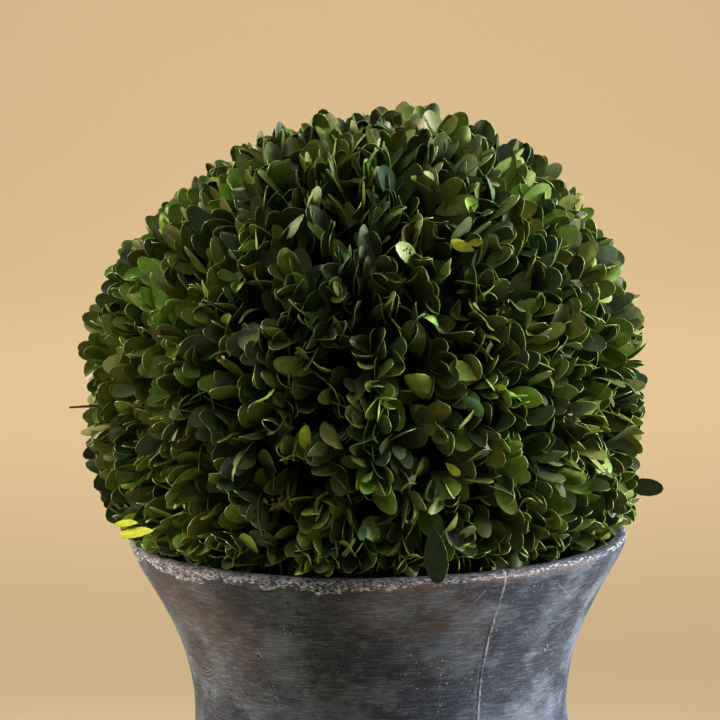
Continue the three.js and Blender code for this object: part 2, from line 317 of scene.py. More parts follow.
brown = 0.0
for rubbed_place, reach in (
    ((-95 * mm, -78 * mm, 258 * mm), 60 * mm),
    ((31 * mm, -121 * mm, 258 * mm), 40 * mm),
    ((10 * mm, -131 * mm, 279 * mm), 38 * mm),
):
    away = add(clay, "VectorMath", {0: place, 1: rubbed_place}, operation="DISTANCE")["Value"]
    near = within(cover["rubbed"], (away, reach, 0.35 * reach))
    brown = add(clay, "Math", {0: brown, 1: near}, operation="MAXIMUM")[0]

# Specks of lime are about a millimetre wide in loose groups, and pits of 1.5 mm, painted near black as their
# shade, lie a few centimetres apart.
dots = {}
for name, spacing, radius in (("specks", 3.6 * mm, 0.46 * mm), ("pits", 34 * mm, 0.9 * mm)):
    cells = add(clay, "TexVoronoi", {"Vector": place, "Scale": 1 / spacing})
    limits = {"Value": cells["Distance"], "From Min": radius / spacing, "From Max": 0.4 * radius / spacing}
    dots[name] = add(clay, "MapRange", limits)[0]
specks = add(clay, "Math", {0: dots["specks"], 1: cover["speck groups"]}, operation="MULTIPLY")[0]

# Brownish chalk lies on the top 2 to 9 mm of the lip, with a wavy line of white lime crumbs along its lower
# edge. To the right the chalk gets thinner over a brown band, and the top of the lip is painted dark as
# shade.
# On the left the crumbs have worn off that top, and only chalk is left there.
rightness = add(clay, "MapRange", {"Value": apart["X"], "From Min": -40 * mm, "From Max": 60 * mm})[0]
by_side = {}
for name, on_left, on_right in (
    ("crust depth", 8 * mm, 3 * mm),
    ("chalk", 0.62, 0.15),
    ("crumbs", 0.6, 0.12),
    ("crumb line", 1, 0.5),
    ("worn off", 0.75, 0),
    ("top shade", 0, 0.85),
    ("grit", 0.3, 0.6),
):
    by_side[name] = add(clay, "MapRange", {"Value": rightness, "To Min": on_left, "To Max": on_right})[0]
crust = {0: cover["crust reach"], 1: by_side["crust depth"], 2: 1 * mm - urn_height}
over_foot = add(clay, "Math", crust, operation="MULTIPLY_ADD")[0]
over_foot = add(clay, "Math", {0: over_foot, 1: apart["Z"]}, operation="ADD")[0]
lip_layers = {}
for name in ("chalk", "crumbs", "lip pits"):
    kept = add(clay, "Math", {0: by_side.get(name, 1.0), 1: cover[name]}, operation="MULTIPLY")[0]
    lip_layers[name] = within(kept, (over_foot, -2 * mm, 2 * mm))
from_foot = add(clay, "Math", {0: over_foot}, operation="ABSOLUTE")[0]
crumb_line = within(cover["crumbs"], (from_foot, 1.8 * mm, 0.5 * mm))
crumb_line = add(clay, "Math", {0: crumb_line, 1: by_side["crumb line"]}, operation="MULTIPLY")[0]
crumbs = add(clay, "Math", {0: lip_layers["crumbs"], 1: crumb_line}, operation="MAXIMUM")[0]
on_top = (apart["Z"], urn_height - 3 * mm, urn_height - 1 * mm)
# The top of the lip on the right is painted dark as shade.
lip_top_shade = within(by_side["top shade"], on_top)
crumbs_left = add(clay, "Math", {0: 1, 1: within(by_side["worn off"], on_top)}, operation="SUBTRACT")[0]
crumbs = add(clay, "Math", {0: crumbs, 1: crumbs_left}, operation="MULTIPLY")[0]
brown_band = within(
    cover["brown band"],
    (apart["Z"], urn_height - 7.5 * mm, urn_height - 3.5 * mm),
    (apart["X"], -25 * mm, 15 * mm),
    (apart["X"], 122 * mm, 104 * mm),
    (apart["Y"], 20 * mm, -10 * mm),
)
grit_top = within(by_side["grit"], (apart["Z"], urn_height - 26 * mm, urn_height - 9 * mm))
grit_place = add(clay, "Math", {0: grit_top, 1: cover["grit groups"]}, operation="MAXIMUM")[0]
grit = add(clay, "Math", {0: grit_place, 1: cover["grit"]}, operation="MULTIPLY")[0]

# The seam turns by a degree on its way down, with a groove on its left that opens lower down and is painted
# dark as its shade.
front = add(clay, "Math", {0: apart["Y"], 1: -1}, operation="MULTIPLY")[0]
round_angle = add(clay, "Math", {0: apart["X"], 1: front}, operation="ARCTAN2")[0]
seam_limits = {"Value": apart["Z"], "From Min": 208 * mm, "From Max": urn_height}
seam_limits |= {"To Min": math.radians(29.9), "To Max": math.radians(28.8)}
seam_angle = add(clay, "MapRange", seam_limits, clamp=False)[0]
aside = add(clay, "Math", {0: round_angle, 1: seam_angle}, operation="SUBTRACT")[0]
sway = add(clay, "TexNoise", {"Vector": place, "Scale": 1 / (14 * mm), "Detail": 5})["Fac"]
sway = add(clay, "MapRange", {"Value": sway, "To Min": -0.014, "To Max": 0.014})[0]
aside = add(clay, "Math", {0: aside, 1: sway}, operation="ADD")[0]
seam = {}
seam_foot = 186 * mm
wall_radius = 120  # mm, where the seam runs
for name, middle, half, top in (
    # name, its middle right of the seam and half its width in mm, where it fades in from the top
    ("seam", 0, 0.52, 312 * mm),
    ("groove", -1.5, 1.0, 272 * mm),
    ("far edge", -2.9, 0.35, 256 * mm),
):
    off = {0: aside, 1: middle / wall_radius, 2: half / wall_radius}
    line = add(clay, "Math", off, operation="COMPARE")[0]
    line = within(line, (apart["Z"], seam_foot, seam_foot + 12 * mm), (apart["Z"], top, top - 20 * mm))
    seam[name] = add(clay, "Math", {0: line, 1: cover["breaks"]}, operation="MULTIPLY")[0]

# On the left a slipped tool has left three curved grooves with raised edges: the grooves are painted dark as
# their shade and the edges pale as a painted highlight. On the right are a few short scratches and two larger
# pits, painted near black as their shade, with a rim of lime. They are drawn on the wall rolled flat, by
# millimetres round from the front and up.
roll_radius = 113 * mm
flat_round = add(clay, "Math", {0: round_angle, 1: roll_radius}, operation="MULTIPLY")[0]
flat_place = add(clay, "CombineXYZ", {"X": flat_round, "Y": apart["Z"]})[0]
gouge_centre = (-127.4 * mm, 251.2 * mm, 0)
from_centre = add(clay, "VectorMath", {0: flat_place, 1: gouge_centre}, operation="DISTANCE")["Value"]
gouge = {}
for name, radii, half in (("grooves", (27.4, 29.4, 31.6), 0.55), ("ridges", (28.4, 30.3, 32.6), 0.35)):
    lines = 0.0
    for radius in radii:
        off = {0: from_centre, 1: radius * mm, 2: half * mm}
        line = add(clay, "Math", off, operation="COMPARE")[0]
        lines = add(clay, "Math", {0: lines, 1: line}, operation="MAXIMUM")[0]
    lines = within(lines, (flat_round, -108 * mm, -118 * mm), (apart["Z"], 253 * mm, 246 * mm))
    gouge[name] = add(clay, "Math", {0: lines, 1: cover["breaks"]}, operation="MULTIPLY")[0]
pits = dots["pits"]
pit_rims = 0.0
for pit_place in ((-69.6 * mm, 240.4 * mm, 0), (104.3 * mm, 236.9 * mm, 0)):
    away = add(clay, "VectorMath", {0: flat_place, 1: pit_place}, operation="DISTANCE")["Value"]
    pit = add(clay, "MapRange", {"Value": away, "From Min": 1.2 * mm, "From Max": 0.6 * mm})[0]
    pits = add(clay, "Math", {0: pits, 1: pit}, operation="MAXIMUM")[0]
    rim = add(clay, "Math", {0: away, 1: 1.5 * mm, 2: 0.3 * mm}, operation="COMPARE")[0]
    pit_rims = add(clay, "Math", {0: pit_rims, 1: rim}, operation="MAXIMUM")[0]
pit_rims = add(clay, "Math", {0: pit_rims, 1: cover["crumbs"]}, operation="MULTIPLY")[0]
scratches = 0.0
for middle_round, middle_height, slope, length in (
    # middle in mm round from the front and up, slope in degrees, length in mm
    (98.8, 271.2, -33, 19),
    (45.8, 276.5, 58, 9),
):
    middle = (middle_round * mm, middle_height * mm, 0)
    turn_flat = {"Vector": flat_place, "Location": middle, "Rotation": (0, 0, math.radians(slope))}
    turned_place = add(clay, "Mapping", turn_flat, vector_type="TEXTURE")[0]
    own = add(clay, "SeparateXYZ", {0: turned_place})
    along = add(clay, "Math", {0: own["X"], 1: 0, 2: length / 2 * mm}, operation="COMPARE")[0]
    across = add(clay, "Math", {0: own["Y"], 1: 0, 2: 0.25 * mm}, operation="COMPARE")[0]
    scratches = add(clay, "Math", {0: along, 1: across, 2: scratches}, operation="MULTIPLY_ADD")[0]
scratches = add(clay, "Math", {0: scratches, 1: cover["breaks"]}, operation="MULTIPLY")[0]

dust = within(0.6, (add(clay, "Attribute", attribute_name="valley")["Fac"], 0.25, 1))
wash = hex_colour("#191f2b")
for mask, code in (
    (cover["wide lines"], "#282e38"),
    (cover["clouds"], "#545f6a"),
    (brown, "#493f3a"),
    (brush_lines, "#757d8a"),
    (grit, "#7f8795"),
    (dust, "#7b7a76"),
    (brown_band, "#645044"),
    # the top of the lip on the right, painted dark as shade
    (lip_top_shade, "#1c232e"),
    (lip_layers["chalk"], "#6f696a"),
    (crumbs, "#c6cfd6"),
    # pits in the lip, painted near black as their shade
    (lip_layers["lip pits"], "#17171a"),
    # the gouge's grooves painted dark as shade, and their raised edges pale as a painted highlight
    (gouge["grooves"], "#1c1a19"),
    (gouge["ridges"], "#6e675d"),
    (scratches, "#767c88"),
    # the groove by the seam, painted dark as its shade
    (seam["groove"], "#25221f"),
    (seam["far edge"], "#5f6064"),
    (seam["seam"], "#8f9299"),
    (specks, "#c3c5c9"),
    (pit_rims, "#9a9fa8"),
    # pits in the wall, painted near black as their shade
    (pits, "#0b0b0c"),
):
    wash = add(clay, "Mix", {0: mask, 6: wash, 7: hex_colour(code)}, data_type="RGBA")[2]

relief = 0.0
for pattern, rise in (
    (brush_lines, 0.5),
    (grit, 0.4),
    (specks, 0.4),
    (crumbs, 0.5),
    (lip_layers["lip pits"], -0.7),
    (gouge["grooves"], -0.9),
    (gouge["ridges"], 0.5),
    (seam["seam"], 0.6),
    (seam["groove"], -0.8),
    (pits, -1.5),
):
    relief = add(clay, "Math", {0: pattern, 1: rise, 2: relief}, operation="MULTIPLY_ADD")[0]
dress(clay, clay_shader, wash, relief, 0.6, 0.8 * mm)
gloss = add(clay, "MapRange", {"Value": cover["wide lines"], "To Min": 0.6, "To Max": 0.82})[0]
clay.node_tree.links.new(gloss, clay_shader.inputs["Roughness"])

urn = new_piece("lime_washed_urn", urn_mesh, clay)
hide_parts("urn")

# Fill
# Dry flower foam under a thin pad of moss, pressed into the urn up to its waist. It only shows between the
# lip and the ball, so it is a lumpy disc with the urn's own taper.
fill_low, fill_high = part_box("dry_fill")
fill_top = fill_high.z
fill_gap = 0.6 * mm
fill_side = [
    (radius - fill_gap, height)
    for radius, height in inner_profile
    if fill_low.z + 1 * mm < height < fill_top - 5 * mm
]
edge_radius = inside_radius(fill_top) - fill_gap
moss_rings = 26
moss_top = [(edge_radius * (1 - i / moss_rings), fill_top) for i in range(moss_rings + 1)]
fill_mesh = turned([(0, fill_low.z), (61 * mm, fill_low.z), *fill_side, *moss_top], 110)
for vert in fill_mesh.verts:
    if vert.co.z > fill_top - 1 * mm:
        rim_fade = min(1, (edge_radius - math.hypot(vert.co.x, vert.co.y)) / (10 * mm))
        lump = 2.2 * mm * noise.noise(vert.co * 60) + 1.2 * mm * noise.noise(vert.co * 190)
        vert.co.z += -2.4 * mm + lump - 3 * mm * (1 - rim_fade)


def two_tone(material, shader, pattern, low, high, dark, pale, strength, depth):
    """Mixes a dark and a pale colour by a pattern, between two of its values, and bumps it by the same."""
    share = add(material, "MapRange", {"Value": pattern, "From Min": low, "From Max": high})[0]
    mix = {0: share, 6: hex_colour(dark), 7: hex_colour(pale)}
    colour = add(material, "Mix", mix, data_type="RGBA")[2]
    dress(material, shader, colour, pattern, strength, depth)


# Dried moss: a rough, dull olive-brown pile in tufts of about 4 mm.
moss, moss_shader = new_material("dry_moss", 0.95, 1.4)
place = add(moss, "TexCoord")["Object"]
tufts = add(moss, "TexNoise", {"Vector": place, "Scale": 1 / (4 * mm), "Detail": 5, "Roughness": 0.7})["Fac"]
two_tone(moss, moss_shader, tufts, 0.35, 0.7, "#22200f", "#5a5430", 0.8, 2 * mm)
fill = new_piece("moss_and_foam", fill_mesh, moss)
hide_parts("dry_fill")

# Stem
# The short stem of the bush, pale grey-brown and cracked into fine upright plates, flared where it leaves
# the fill. It runs up into the ball.
ball_centre = Vector((-2 * mm, 0, 371 * mm))
core_radius = 117 * mm
stem_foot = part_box("stem")[0].z
stem_end = ball_centre.z - core_radius + 8 * mm
stem_neck = (7.5 * mm, 243 * mm)
stem_line = curve((17 * mm, stem_foot), (11.5 * mm, stem_foot + 6 * mm), (10.5 * mm, 222 * mm), stem_neck, 26)
stem_mesh = turned([(0, stem_foot), *stem_line, (7.2 * mm, stem_end), (0, stem_end)], 56)
for vert in stem_mesh.verts:
    if math.hypot(vert.co.x, vert.co.y) > 1 * mm:
        turn = math.atan2(vert.co.y, vert.co.x)
        plate = noise.noise(Vector((4 * math.cos(turn), 4 * math.sin(turn), vert.co.z * 45)))
        grain = noise.noise(Vector((11 * math.cos(turn), 11 * math.sin(turn), vert.co.z * 110)))
        vert.co.xy *= 1 - 0.05 * abs(plate) - 0.035 * abs(grain)
    vert.co.x += ball_centre.x
# Box bark: corky and matt, pale plates between dark cracks that are 2 mm apart and run up the stem.
bark, bark_shader = new_material("box_bark", 0.9, 1.4)
place = add(bark, "TexCoord")["Object"]
plate_scale = (1 / (2.4 * mm), 1 / (2.4 * mm), 1 / (11 * mm))
upright = add(bark, "Mapping", {"Vector": place, "Scale": plate_scale})[0]
cracks = add(bark, "TexNoise", {"Vector": upright, "Scale": 1, "Detail": 4, "Roughness": 0.7})["Fac"]
two_tone(bark, bark_shader, cracks, 0.38, 0.62, "#3a2b1d", "#7d6a52", 0.7, 1.2 * mm)
stem = new_piece("barked_stem", stem_mesh, bark)
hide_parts("stem")

# Core of the ball
# The imported base of inner twigs and old leaf that the sprigs are set in. It is painted nearly black between
# them, as the deep shade in the ball.
core_mesh = bmesh.new()
bmesh.ops.create_icosphere(core_mesh, subdivisions=6, radius=core_radius)
for vert in core_mesh.verts:
    out = vert.co.normalized()
    vert.co += out * (1.6 * mm * noise.noise(vert.co * 70) + 0.9 * mm * noise.noise(vert.co * 210))
    vert.co += ball_centre
# Leaf litter: dull and painted very dark as the deep shade in the ball, with olive flecks about 7 mm apart.
thatch, thatch_shader = new_material("shaded_leaf_litter", 0.95, 1.4)
thatch_shader.inputs["Specular IOR Level"].default_value = 0.15
place = add(thatch, "TexCoord")["Object"]
litter = add(thatch, "TexNoise", {"Vector": place, "Scale": 1 / (7 * mm), "Detail": 4})["Fac"]
two_tone(thatch, thatch_shader, litter, 0.4, 0.7, "#0d0f07", "#1a1b0c", 0.8, 2 * mm)
core = new_piece("inner_thatch", core_mesh, thatch)
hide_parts("foliage_ball")

# Leaves
# Box leaves up to 31 mm long: leathery, oval and widest past the middle, some notched at the tip. The upper
# face is deep green with a soft gloss, the back paler and matt, and the thin edge, where the leaf is rolled,
# is pale: partly its own paler margin and partly a painted highlight of the light it catches. A dozen shapes
# are modelled once, and copied by array into one mesh for each tint.
leaf_full = 31 * mm
leaf_rows = 7
leaf_edge = 0.38 * mm  # a little more than the real one, so that it shows
leaf_widest = 0.58


def leaf_half_width(along, width):
    """Half the width of a leaf at a share of its length: a wedge-shaped foot and a round tip."""
    if along < leaf_widest:
        return width / 2 * math.sin(math.pi / 2 * along / leaf_widest) ** 0.9
    return width / 2 * math.sqrt(max(0, 1 - ((along - leaf_widest) / (1 - leaf_widest)) ** 2))


def mesh_parts(bm):
    """The corners of a bmesh, its triangles and the part that each triangle is, as arrays."""
    bm.verts.ensure_lookup_table()
    corners = np.array([v.co[:] for v in bm.verts])
    triangles = np.array([[v.index for v in f.verts] for f in bm.faces])
    parts = np.array([f.material_index for f in bm.faces])
    bm.free()
    return corners, triangles, parts


def leaf_shape(length, width, notch, cup, fold, curl, twist):
    """One leaf along +X with its upper face, part 0, towards +Z. Its back is part 1 and its edge part 2."""
    bm = bmesh.new()
    strips = 4 if abs(cup) > 0.25 else 2
    bmesh.ops.create_grid(bm, x_segments=leaf_rows, y_segments=strips, size=0.5)
    for vert in bm.verts:
        share = vert.co.x + 0.5
        side = vert.co.y * 2
        along = (1 - math.cos(math.pi * share**0.85)) / 2
        half = max(leaf_half_width(along, width), 0.5 * mm if share < 0.5 else 0)
        reach = along - notch * (1 - abs(side)) * max(0, along - 0.8) / 0.2
        vert.co = (length * reach, side * half, 0)
    bmesh.ops.remove_doubles(bm, verts=bm.verts, dist=0.1 * mm)
    bmesh.ops.recalc_face_normals(bm, faces=bm.faces)
    if bm.faces[0].normal.z > 0:
        bmesh.ops.reverse_faces(bm, faces=bm.faces)
    bmesh.ops.solidify(bm, geom=bm.faces[:], thickness=leaf_edge)
    bm.normal_update()
    for face in bm.faces:
        is_edge = abs(face.normal.z) < 0.95
        face.material_index = 2 if is_edge else (0 if face.normal.z > 0 else 1)
    bmesh.ops.triangulate(bm, faces=bm.faces)
    for vert in bm.verts:
        x, y, z = vert.co
        share = x / length
        rise = cup * (2 * y / width) ** 2 * width / 2 + fold * abs(y)
        z += rise * min(1, share * 3)
        turn = twist * share
        y, z = y * math.cos(turn) - z * math.sin(turn), y * math.sin(turn) + z * math.cos(turn)
        bend = curl * share
        arm = length / curl
        x, z = arm * math.sin(bend) - z * math.sin(bend), arm * (1 - math.cos(bend)) + z * math.cos(bend)
        vert.co = (x, y, z)
    return mesh_parts(bm)


leaf_kinds = [
    leaf_shape(leaf_full, width * mm, notch, cup, fold, curl, twist)
    for width, notch, cup, fold, curl, twist in (
        # width in mm, share of the length, rise at the sides and slope from the midrib, angles in radians
        (13.0, 0.00, 0.12, 0.05, 0.30, 0.10),
        (15.0, 0.03, 0.18, 0.03, -0.30, -0.12),
        (14.2, 0.05, -0.15, 0.08, 0.50, 0.20),
        (12.4, 0.00, 0.08, 0.12, -0.45, -0.20),
        (16.2, 0.04, 0.10, 0.05, 0.25, 0.08),
        (13.6, 0.00, -0.20, 0.03, 0.65, -0.25),
        (14.8, 0.06, 0.22, 0.06, 0.20, 0.30),
        (12.2, 0.00, 0.10, 0.10, 0.80, -0.10),
        (15.6, 0.02, 0.50, 0.00, 0.25, 0.15),
        (14.4, 0.00, -0.45, 0.00, -0.40, 0.40),
        (13.4, 0.03, 0.70, 0.05, -0.60, -0.45),
        (15.2, 0.00, 0.35, 0.15, 0.95, 0.50),
    )
]

# The seeded rule of the plant. Sprigs stand on an even spiral over the ball and lean every way. Each carries
# pairs of leaves that close towards its tip: crossed pairs on a third of the sprigs, and on the others pairs
# that lie in one upright plane, as a flat spray. Single leaves fill the shade between the sprigs.
# A leaf that would leave the ball is made shorter, and one that would touch the urn is turned up.
ball_radius = 157.5 * mm
sprig_count = 650
filler_count = 1200
fringe_count = 260
golden_turn = math.pi * (3 - math.sqrt(5))


def ball_direction(around, up):
    """A direction from the ball's centre, by degrees round from the front to the right and degrees up."""
    around, up = math.radians(around), math.radians(up)
    return Vector((math.sin(around) * math.cos(up), -math.cos(around) * math.cos(up), math.sin(up)))


# The shears left the ball a little out of round: degrees round, degrees up and height in mm of its lumps.
lump_places = (
    (90, 72, 6),
    (90, 50, 2),
    (-90, 72, 2),
    (-90, 57, -5),
    (-90, 24, 4),
    (-90, 5, 8),
    (-90, -21, 6),
    (90, -8, -7),
    (90, -32, 9),
)
lump_directions = np.array([ball_direction(around, up) for around, up, _ in lump_places])
lump_heights = np.array([height * mm for _, _, height in lump_places])
lump_spread = 0.045
# Its tufts stand 20 to 40 mm apart.
tuft_waves = [(31, 12, -8), (-9, 36, 14), (17, -13, 33), (-28, 19, 24), (41, 27, -19), (-11, -38, 9)]
tuft_height = 4.5 * mm


def outline_radius(directions):
    """How far the leaves reach along each direction, given as rows: a little further just over the lip."""
    nearness = np.exp((directions @ lump_directions.T - 1) / lump_spread)
    skirt = np.exp(-(((directions[..., 2] + 0.52) / 0.1) ** 2))
    tufts = np.sin(directions @ np.array(tuft_waves).T).mean(axis=-1)
    return ball_radius + nearness @ lump_heights + 3 * mm * skirt + tuft_height * tufts


def seeded_random(start):
    """The same numbers from 0 to 1 on every run."""
    state = start
    whole = 0xFFFFFFFF
    while True:
        state = (state + 0x6D2B79F5) & whole
        t = ((state ^ (state >> 15)) * (state | 1)) & whole
        t ^= (t + ((t ^ (t >> 7)) * (t | 61) & whole)) & whole
        yield ((t ^ (t >> 14)) & whole) / 4294967296


chance = seeded_random(19)


def between(low, high):
    """The next seeded number, from low to high."""
    return low + (high - low) * next(chance)


stem_keep_out = 18 * mm
least_room = 1 * mm
wall_heights = np.array([point[1] for point in inner_profile])
wall_radii = np.array([point[0] for point in inner_profile])


def hits_something(points):
    """True if any of the points would lie in the urn, the fill or the stem."""
    z = points[:, 2]
    radius = np.hypot(points[:, 0], points[:, 1])
    in_wall = (z < urn_height + least_room) & (radius > np.interp(z, wall_heights, wall_radii) - least_room)
    in_wall &= radius < rim_radius + least_room
    in_fill = z < fill_top + least_room
    in_stem = (z < stem_end) & (np.hypot(points[:, 0] - ball_centre.x, points[:, 1]) < stem_keep_out)
    return bool((in_wall | in_fill | in_stem).any())


def beyond_ball(points):
    """How far the points reach past the ball's outline."""
    arms = points - np.array(ball_centre)
    lengths = np.linalg.norm(arms, axis=1)
    return float((lengths - outline_radius(arms / lengths[:, None])).max())


leaf_tints = {
    # name: upper face, back, share of the sprigs, how much more of it on the left, where the ball is olive,
    # partly from drier leaves and partly as painted warm light on that side
    "deep_green": ("#343e20", "#404b29", 0.2, -0.3),
    "bottle_green": ("#2a361b", "#384527", 0.17, -0.5),
    "mid_green": ("#424c24", "#4f592d", 0.2, 0),
    "grass_green": ("#566827", "#62752f", 0.14, 2),
    "olive_green": ("#555b22", "#61672b", 0.16, 2.2),
    "blue_green": ("#2a4228", "#384f32", 0.02, 0),
    "dull_olive": ("#585b24", "#64672d", 0.06, 2.5),
    "bronze_green": ("#46431c", "#535025", 0.02, 2),
    # light_green is a lighter green on some sprigs, partly a painted highlight for the gloss of some leaves
    "light_green": ("#6b8a34", "#76963e", 0.04, 3),
}
bright_tints = {
    "fresh_green": ("#416730", "#557a43"),
    "yellow_green": ("#a3ab2e", "#a9af40"),
    "dry_brown": ("#554b22", "#716631"),
}
placed = {name: [] for name in (*leaf_tints, *bright_tints)}
twigs = []
buds = []


def pick_tint(out):
    """The tint that a sprig takes, by its share, with more olive towards the left of the ball, as drier
    leaves and painted warm light.
    """
    leftness = max(0, -out.x)
    shares = {name: share * (1 + more * leftness) for name, (_, _, share, more) in leaf_tints.items()}
    roll = between(0, sum(shares.values()))
    for name, share in shares.items():
        roll -= share
        if roll < 0:
            return name
    return "deep_green"


def frame_along(forward, face):
    """A matrix whose X runs forward and whose Z is as near to face as it can be."""
    forward = forward.normalized()
    wide = face.cross(forward).normalized()
    face = forward.cross(wide)
    return np.array([forward, wide, face]).T


def set_leaf(root, forward, face, kind, size, tint):
    """Sets one leaf where it has room."""
    corners = leaf_kinds[kind][0]
    for _ in range(7):
        turn = frame_along(forward, face)
        points = (corners * size) @ turn.T + np.array(root)
        over = beyond_ball(points)
        if over > 0:
            size *= 1 - max(0.03, over / (leaf_full * size))
        elif hits_something(points):
            forward = (forward + Vector((0, 0, 0.22))).normalized()
        else:
            placed[tint].append((kind, turn * size, np.array(root)))
            return


def sideways(direction, angle):
    """A direction square to the given one, turned round it by an angle."""
    return Matrix.Rotation(angle, 3, direction) @ direction.orthogonal().normalized()


# From the tip down: the length of each pair of leaves, as a share, and how far it opens, in degrees.
pair_length = (0.72, 0.88, 0.98, 1.0)
pair_opening = (10, 20, 29, 36)
flat_share = 0.68
bud_share = 0.16
own_tint_share = 0.8
fresh_share = 0.003
for i in range(sprig_count):
    level = 1 - 2 * (i + between(0.2, 0.8)) / sprig_count
    ring = math.sqrt(1 - level * level)
    turn = i * golden_turn + between(-0.12, 0.12)
    out = Vector((ring * math.cos(turn), ring * math.sin(turn), level))
    lean = math.radians(between(0, 24))
    grow = out * math.cos(lean) + sideways(out, between(0, math.tau)) * math.sin(lean)
    depth = between(0, 1) ** 2 * 12 * mm
    tip_reach = outline_radius(np.array(out)) - depth - pair_length[0] * leaf_full * 0.9 * math.cos(lean)
    tip = ball_centre + out * tip_reach
    down = tip_reach * grow.dot(out)
    twig_length = down - math.sqrt(max(0, down**2 - tip_reach**2 + (core_radius - 3 * mm) ** 2))
    if hits_something(np.array([tip[:]])):
        continue
    tint = pick_tint(out)
    twist = between(0, math.pi)
    pair_turn = math.pi / 2 * between(0.55, 1)
    twigs.append((tip - grow * twig_length, tip))
    if between(0, 1) < bud_share:
        buds.append((tip, grow))
    is_flat = between(0, 1) < flat_share
    plane_face = Matrix.Rotation(between(-0.6, 0.6), 3, grow) @ out.cross(Vector((0, 0.05, 1)))
    spread = plane_face.cross(grow).normalized()
    plane_face = grow.cross(spread) * (1 if between(0, 1) < 0.5 else -1)
    below = 0.0
    for pair in range(len(pair_length)):
        if below > twig_length:
            break
        for half in (0, 1):
            aside = sideways(grow, twist + pair * pair_turn + half * math.pi + between(-0.35, 0.35))
            if is_flat:
                aside = spread * (1 - 2 * half)
            opening = math.radians(pair_opening[pair] + between(-11, 13))
            forward = grow * math.cos(opening) + aside * math.sin(opening)
            face = plane_face if is_flat else grow * math.sin(opening) - aside * math.cos(opening)
            face = Matrix.Rotation(between(-0.5, 0.5), 3, forward) @ face
            size = pair_length[pair] * between(0.88, 1.08)
            leaf_tint = tint if between(0, 1) < own_tint_share else pick_tint(out)
            if between(0, 1) < fresh_share:
                leaf_tint = "fresh_green"
            kind = int(between(0, len(leaf_kinds)))
            set_leaf(tip - grow * below + aside * 0.6 * mm, forward, face, kind, size, leaf_tint)
        below += between(6, 9.5) * mm

for i in range(filler_count):
    level = between(-1, 1)
    turn = between(0, math.tau)
    ring = math.sqrt(1 - level * level)
    out = Vector((ring * math.cos(turn), ring * math.sin(turn), level))
    lean = math.radians(between(10, 55))
    forward = out * math.cos(lean) + sideways(out, between(0, math.tau)) * math.sin(lean)
    root = ball_centre + out * between(118, 136) * mm
    kind = int(between(0, len(leaf_kinds)))
    set_leaf(root, forward, sideways(forward, between(0, math.tau)), kind, between(0.8, 1.0), pick_tint(out))

# A fringe of leaves leans out over the lip all round, thickest on the left.
for i in range(fringe_count):
    turn = between(0, math.tau) if i % 3 else math.radians(between(170, 270))
    away = Vector((math.cos(turn), math.sin(turn), 0))
    root = Vector((0, 0, between(297, 311) * mm)) + away * between(108, 126) * mm
    dip = math.radians(between(-15, 32))
    forward = away * math.cos(dip) - Vector((0, 0, math.sin(dip))) + between(-0.4, 0.4) * sideways(away, 0)
    face = Matrix.Rotation(between(-0.9, 0.9), 3, forward) @ Vector((0, 0, 1))
    kind = int(between(0, len(leaf_kinds)))
    set_leaf(root, forward, face, kind, between(0.75, 1.0), pick_tint(away))


# Some leaves are told apart in the ball, such as the fresh and the yellow ones. Each faces the front.
def front_leaf(around, up, tip_way, length, kind, tint):
    """Sets a leaf by its root's place on the ball and its tip's way, in degrees, and its length in mm."""
    out = ball_direction(around, up)
    tip_way = math.radians(tip_way)
    forward = (Vector((math.cos(tip_way), 0, math.sin(tip_way))) + 0.35 * out).normalized()
    root = ball_centre + out * 147 * mm
    set_leaf(root, forward, Vector((0, -1, 0)) + 0.3 * out, kind, length * mm / leaf_full, tint)


for leaf in (
    # degrees round from the front, degrees up, degrees of the tip's way, length in mm, kind, tint
    (-67.0, -24.2, 183, 22, 0, "yellow_green"),
    (-65.5, -27.0, 188, 24, 3, "yellow_green"),
    (-82.0, -16.2, 150, 13, 7, "yellow_green"),
    (-63.6, -8.4, 207, 17, 2, "fresh_green"),
    (-41.2, 1.5, 188, 21, 5, "fresh_green"),
    (-47.9, 6.0, 183, 23, 3, "fresh_green"),
    (-34.1, 30.9, 166, 28, 4, "grass_green"),
    (-14.1, -5.1, 84, 16, 10, "yellow_green"),
    (27.9, 36.9, 168, 14, 9, "yellow_green"),
    (26.3, 38.8, -7, 18, 7, "yellow_green"),
    (18.4, 6.5, -51, 16, 9, "fresh_green"),
    (14.8, -7.4, -40, 12, 7, "yellow_green"),
    (-2.5, -19.9, -99, 14, 7, "fresh_green"),
    (-0.8, -19.7, -67, 12, 7, "fresh_green"),
    (57.1, 1.7, 196, 21, 4, "grass_green"),
    (26.1, -12.7, -60, 20, 1, "grass_green"),
    (21.9, 9.4, 153, 19, 4, "grass_green"),
    (25.6, 7.7, -6, 22, 7, "yellow_green"),
):
    front_leaf(*leaf)

# Dry scraps of last year's flowers hang on in small bunches.
for around, up in (
    (24.3, 16.9),
    (-60.4, 1.6),
    (-57.3, -4.4),
    (46.2, -1.5),
    (-44.1, -3.6),
    (9.2, 38.8),
    (30.8, 23.8),
    (-9.1, -26.3),
    (41.0, -11.7),
    (-33.5, 14.0),
    (62.9, 24.6),
    (-21.5, -16.6),
    (135.2, 11.1),
    (171.4, -9.7),
    (-139.6, 20.4),
    (-116.3, -13.0),
    (118.7, 39.5),
):
    out = ball_direction(around, up)
    for _ in range(12):
        near = out + sideways(out, between(0, math.tau)) * between(0, 0.035)
        forward = out + sideways(out, between(0, math.tau)) * between(0.3, 2)
        face = sideways(forward, between(0, math.tau))
        kind = int(between(8, len(leaf_kinds)))
        root = ball_centre + near * between(142, 150) * mm
        set_leaf(root, forward, face, kind, between(0.08, 0.15), "dry_brown")


def leaf_corners(leaf):
    """The corners of a leaf in its place."""
    kind, turn, root = leaf
    return leaf_kinds[kind][0] @ turn.T + root


